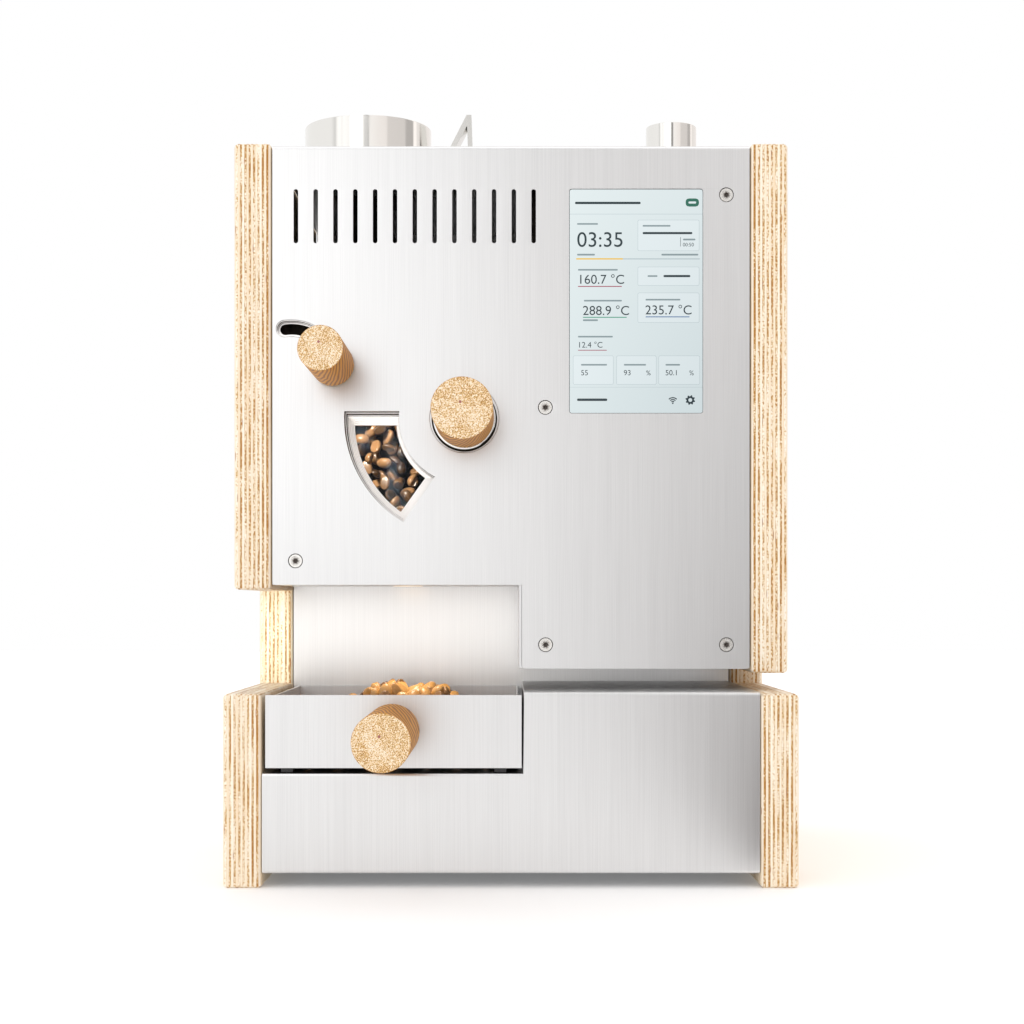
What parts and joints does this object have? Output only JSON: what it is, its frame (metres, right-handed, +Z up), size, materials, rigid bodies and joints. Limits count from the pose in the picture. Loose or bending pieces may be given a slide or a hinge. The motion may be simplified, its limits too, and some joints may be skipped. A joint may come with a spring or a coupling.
{
  "type": "coffee roaster",
  "caption": "Counter-top coffee roaster with stepped plywood sides, steel front, sight window, discharge lever, trier, display, top funnel and a pull-out cooling tray.",
  "frame": {"origin": "centre of the bounding box's footprint, on the surface that the plywood sides stand on", "axes": "+Z up, the front with its knobs and display faces -Y, +X to the right seen from the front"},
  "size_m": [0.38, 0.4418, 0.547],
  "materials": {
    "birch_ply": "oiled birch plywood with its layers showing at the edges",
    "brushed_steel": "vertical brushed stainless",
    "polished_steel": "polished stainless",
    "zinc_steel": "zinc-plated sheet steel",
    "dark_steel": "heat-darkened steel",
    "oak": "oiled oak, end grain to the front",
    "sight_glass": "clear heat-proof glass",
    "display_screen": "lit display behind cover glass",
    "black_plastic": "moulded black plastic",
    "cast_aluminium": "die-cast aluminium",
    "circuit_board": "solder-masked glass-fibre board",
    "lamp_lens": "warm diffusing lens",
    "mica": "mica plates that carry the heating wire",
    "belt_rubber": "black drive-belt rubber"
  },
  "bodies": {
    "case": {"side_panel_left": "birch_ply", "side_panel_right": "birch_ply", "front_plate": "brushed_steel", "front_screw_1": "polished_steel", "front_screw_2": "polished_steel", "front_screw_3": "polished_steel", "front_screw_4": "polished_steel", "front_screw_5": "polished_steel", "rear_cover": "brushed_steel", "bay_ceiling": "brushed_steel", "bay_back_plate": "brushed_steel", "lower_cover": "brushed_steel", "base_pan": "zinc_steel", "display_glass": "display_screen", "display_module": "black_plastic", "control_board": "circuit_board", "window_frame": "brushed_steel", "window_glass": "sight_glass", "drum_front_plate": "zinc_steel", "drum_rear_plate": "zinc_steel", "drum_housing": "dark_steel", "drum_bearing": "cast_aluminium", "drum_motor": "zinc_steel", "drive_belt": "belt_rubber", "blower_housing": "cast_aluminium", "blower_motor": "zinc_steel", "heater_duct": "dark_steel", "heater_element": "mica", "exhaust_pipe": "polished_steel", "funnel": "polished_steel", "gate_guide": "cast_aluminium", "hopper_throat": "zinc_steel", "lever_bush": "cast_aluminium", "lever_slot_rim": "dark_steel", "flap_pin": "polished_steel", "discharge_chute": "zinc_steel", "trier_guide": "polished_steel", "cooling_fan_housing": "black_plastic", "bay_lamp": "lamp_lens", "power_supply": "zinc_steel", "power_inlet": "black_plastic"},
    "discharge_lever": {"lever_shaft": "zinc_steel", "lever_knob": "oak"},
    "discharge_link": {"discharge_link": "zinc_steel"},
    "discharge_flap": {"discharge_flap": "zinc_steel"},
    "trier_slide": {"trier_collar": "polished_steel"},
    "trier": {"trier_scoop": "polished_steel", "trier_knob": "oak"},
    "tray": {"tray_body": "brushed_steel", "tray_front": "brushed_steel", "tray_knob": "oak"},
    "hopper_gate": {"hopper_gate": "polished_steel"},
    "drum": {"drum": "dark_steel", "drum_shaft": "zinc_steel", "drum_pulley": "cast_aluminium"},
    "motor_pulley": {"motor_pulley": "cast_aluminium"},
    "blower": {"blower_impeller": "black_plastic"},
    "cooling_fan": {"cooling_fan_rotor": "black_plastic"},
    "power_switch": {"power_switch": "black_plastic"}
  },
  "joints": [
    {"name": "discharge_lever_turn", "type": "hinge", "parent": "case", "child": "discharge_lever", "pos_m": [-0.151, -0.05, 0.3474], "axis": [0, -1, 0], "range_deg": [0, 90]},
    {"name": "discharge_link_turn", "type": "hinge", "parent": "discharge_lever", "child": "discharge_link", "pos_m": [-0.15635, -0.0641, 0.34868], "axis": [0, -1, 0], "range_deg": [-90, 0]},
    {"name": "discharge_flap_turn", "type": "hinge", "parent": "case", "child": "discharge_flap", "pos_m": [-0.068, -0.05, 0.212], "axis": [0, -1, 0], "range_deg": [0, 90]},
    {"name": "trier_pull", "type": "slide", "parent": "case", "child": "trier_slide", "axis": [0, -1, 0], "range_m": [0, 0.11]},
    {"name": "trier_turn", "type": "hinge", "parent": "trier_slide", "child": "trier", "pos_m": [-0.032, -0.05, 0.315], "axis": [0, -1, 0], "range_deg": [-180, 180]},
    {"name": "tray_pull", "type": "slide", "parent": "case", "child": "tray", "axis": [0, -1, 0], "range_m": [0, 0.16]},
    {"name": "hopper_gate_pull", "type": "slide", "parent": "case", "child": "hopper_gate", "axis": [1, 0, 0], "range_m": [0, 0.042]},
    {"name": "drum_spin", "type": "hinge", "parent": "case", "child": "drum", "pos_m": [-0.032, 0.05, 0.315], "axis": [0, -1, 0], "continuous": true},
    {"name": "motor_spin", "type": "hinge", "parent": "case", "child": "motor_pulley", "pos_m": [0.1, 0.14, 0.39], "axis": [0, -1, 0], "continuous": true},
    {"name": "blower_spin", "type": "hinge", "parent": "case", "child": "blower", "pos_m": [0.108, 0.11, 0.198], "axis": [0, -1, 0], "continuous": true},
    {"name": "cooling_fan_spin", "type": "hinge", "parent": "case", "child": "cooling_fan", "pos_m": [-0.0775, -0.0331, 0.06], "axis": [0, 0, 1], "continuous": true},
    {"name": "power_switch_tilt", "type": "hinge", "parent": "case", "child": "power_switch", "pos_m": [0.11, 0.2148, 0.074], "axis": [1, 0, 0], "range_deg": [-16, 0]}
  ],
  "couplings": [
    {"joint": "discharge_link_turn", "follows": "discharge_lever_turn", "ratio": -1},
    {"joint": "discharge_flap_turn", "follows": "discharge_lever_turn", "ratio": 1},
    {"joint": "motor_spin", "follows": "drum_spin", "ratio": 2}
  ]
}
